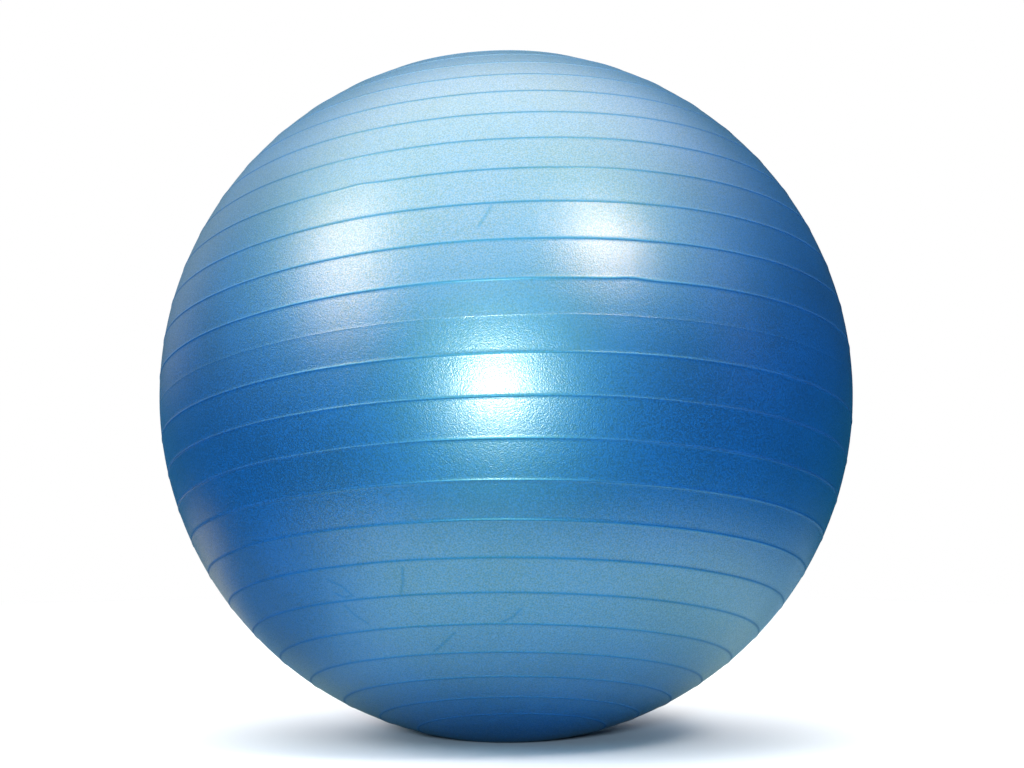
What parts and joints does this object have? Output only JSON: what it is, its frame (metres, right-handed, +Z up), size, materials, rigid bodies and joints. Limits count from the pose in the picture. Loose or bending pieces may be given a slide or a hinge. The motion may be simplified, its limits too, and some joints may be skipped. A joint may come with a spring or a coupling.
{
  "type": "exercise ball",
  "caption": "Inflated exercise ball with a thin, hollow, ribbed shell, a valve seat at one pole and a push-in plug that pulls out along the valve's axis.",
  "frame": {"origin": "middle of the flat where the ball meets the floor", "axes": "+Z up; the ball's own axis leans 15 degrees from +Z towards +Y, so the valve is at the upper rear; +X to the right seen from the front"},
  "size_m": [0.6504, 0.65, 0.6468],
  "materials": {
    "pearl_pvc": "satin, pearlescent",
    "seat_pvc": "satin",
    "plug_plastic": "satin"
  },
  "bodies": {
    "ball": {"ball_shell": "pearl_pvc", "valve_seat": "seat_pvc"},
    "plug": {"valve_plug": "plug_plastic"}
  },
  "joints": [
    {"name": "plug_pull", "type": "slide", "parent": "ball", "child": "plug", "axis": [0, 0.2588, 0.9659], "range_m": [0, 0.06]}
  ]
}
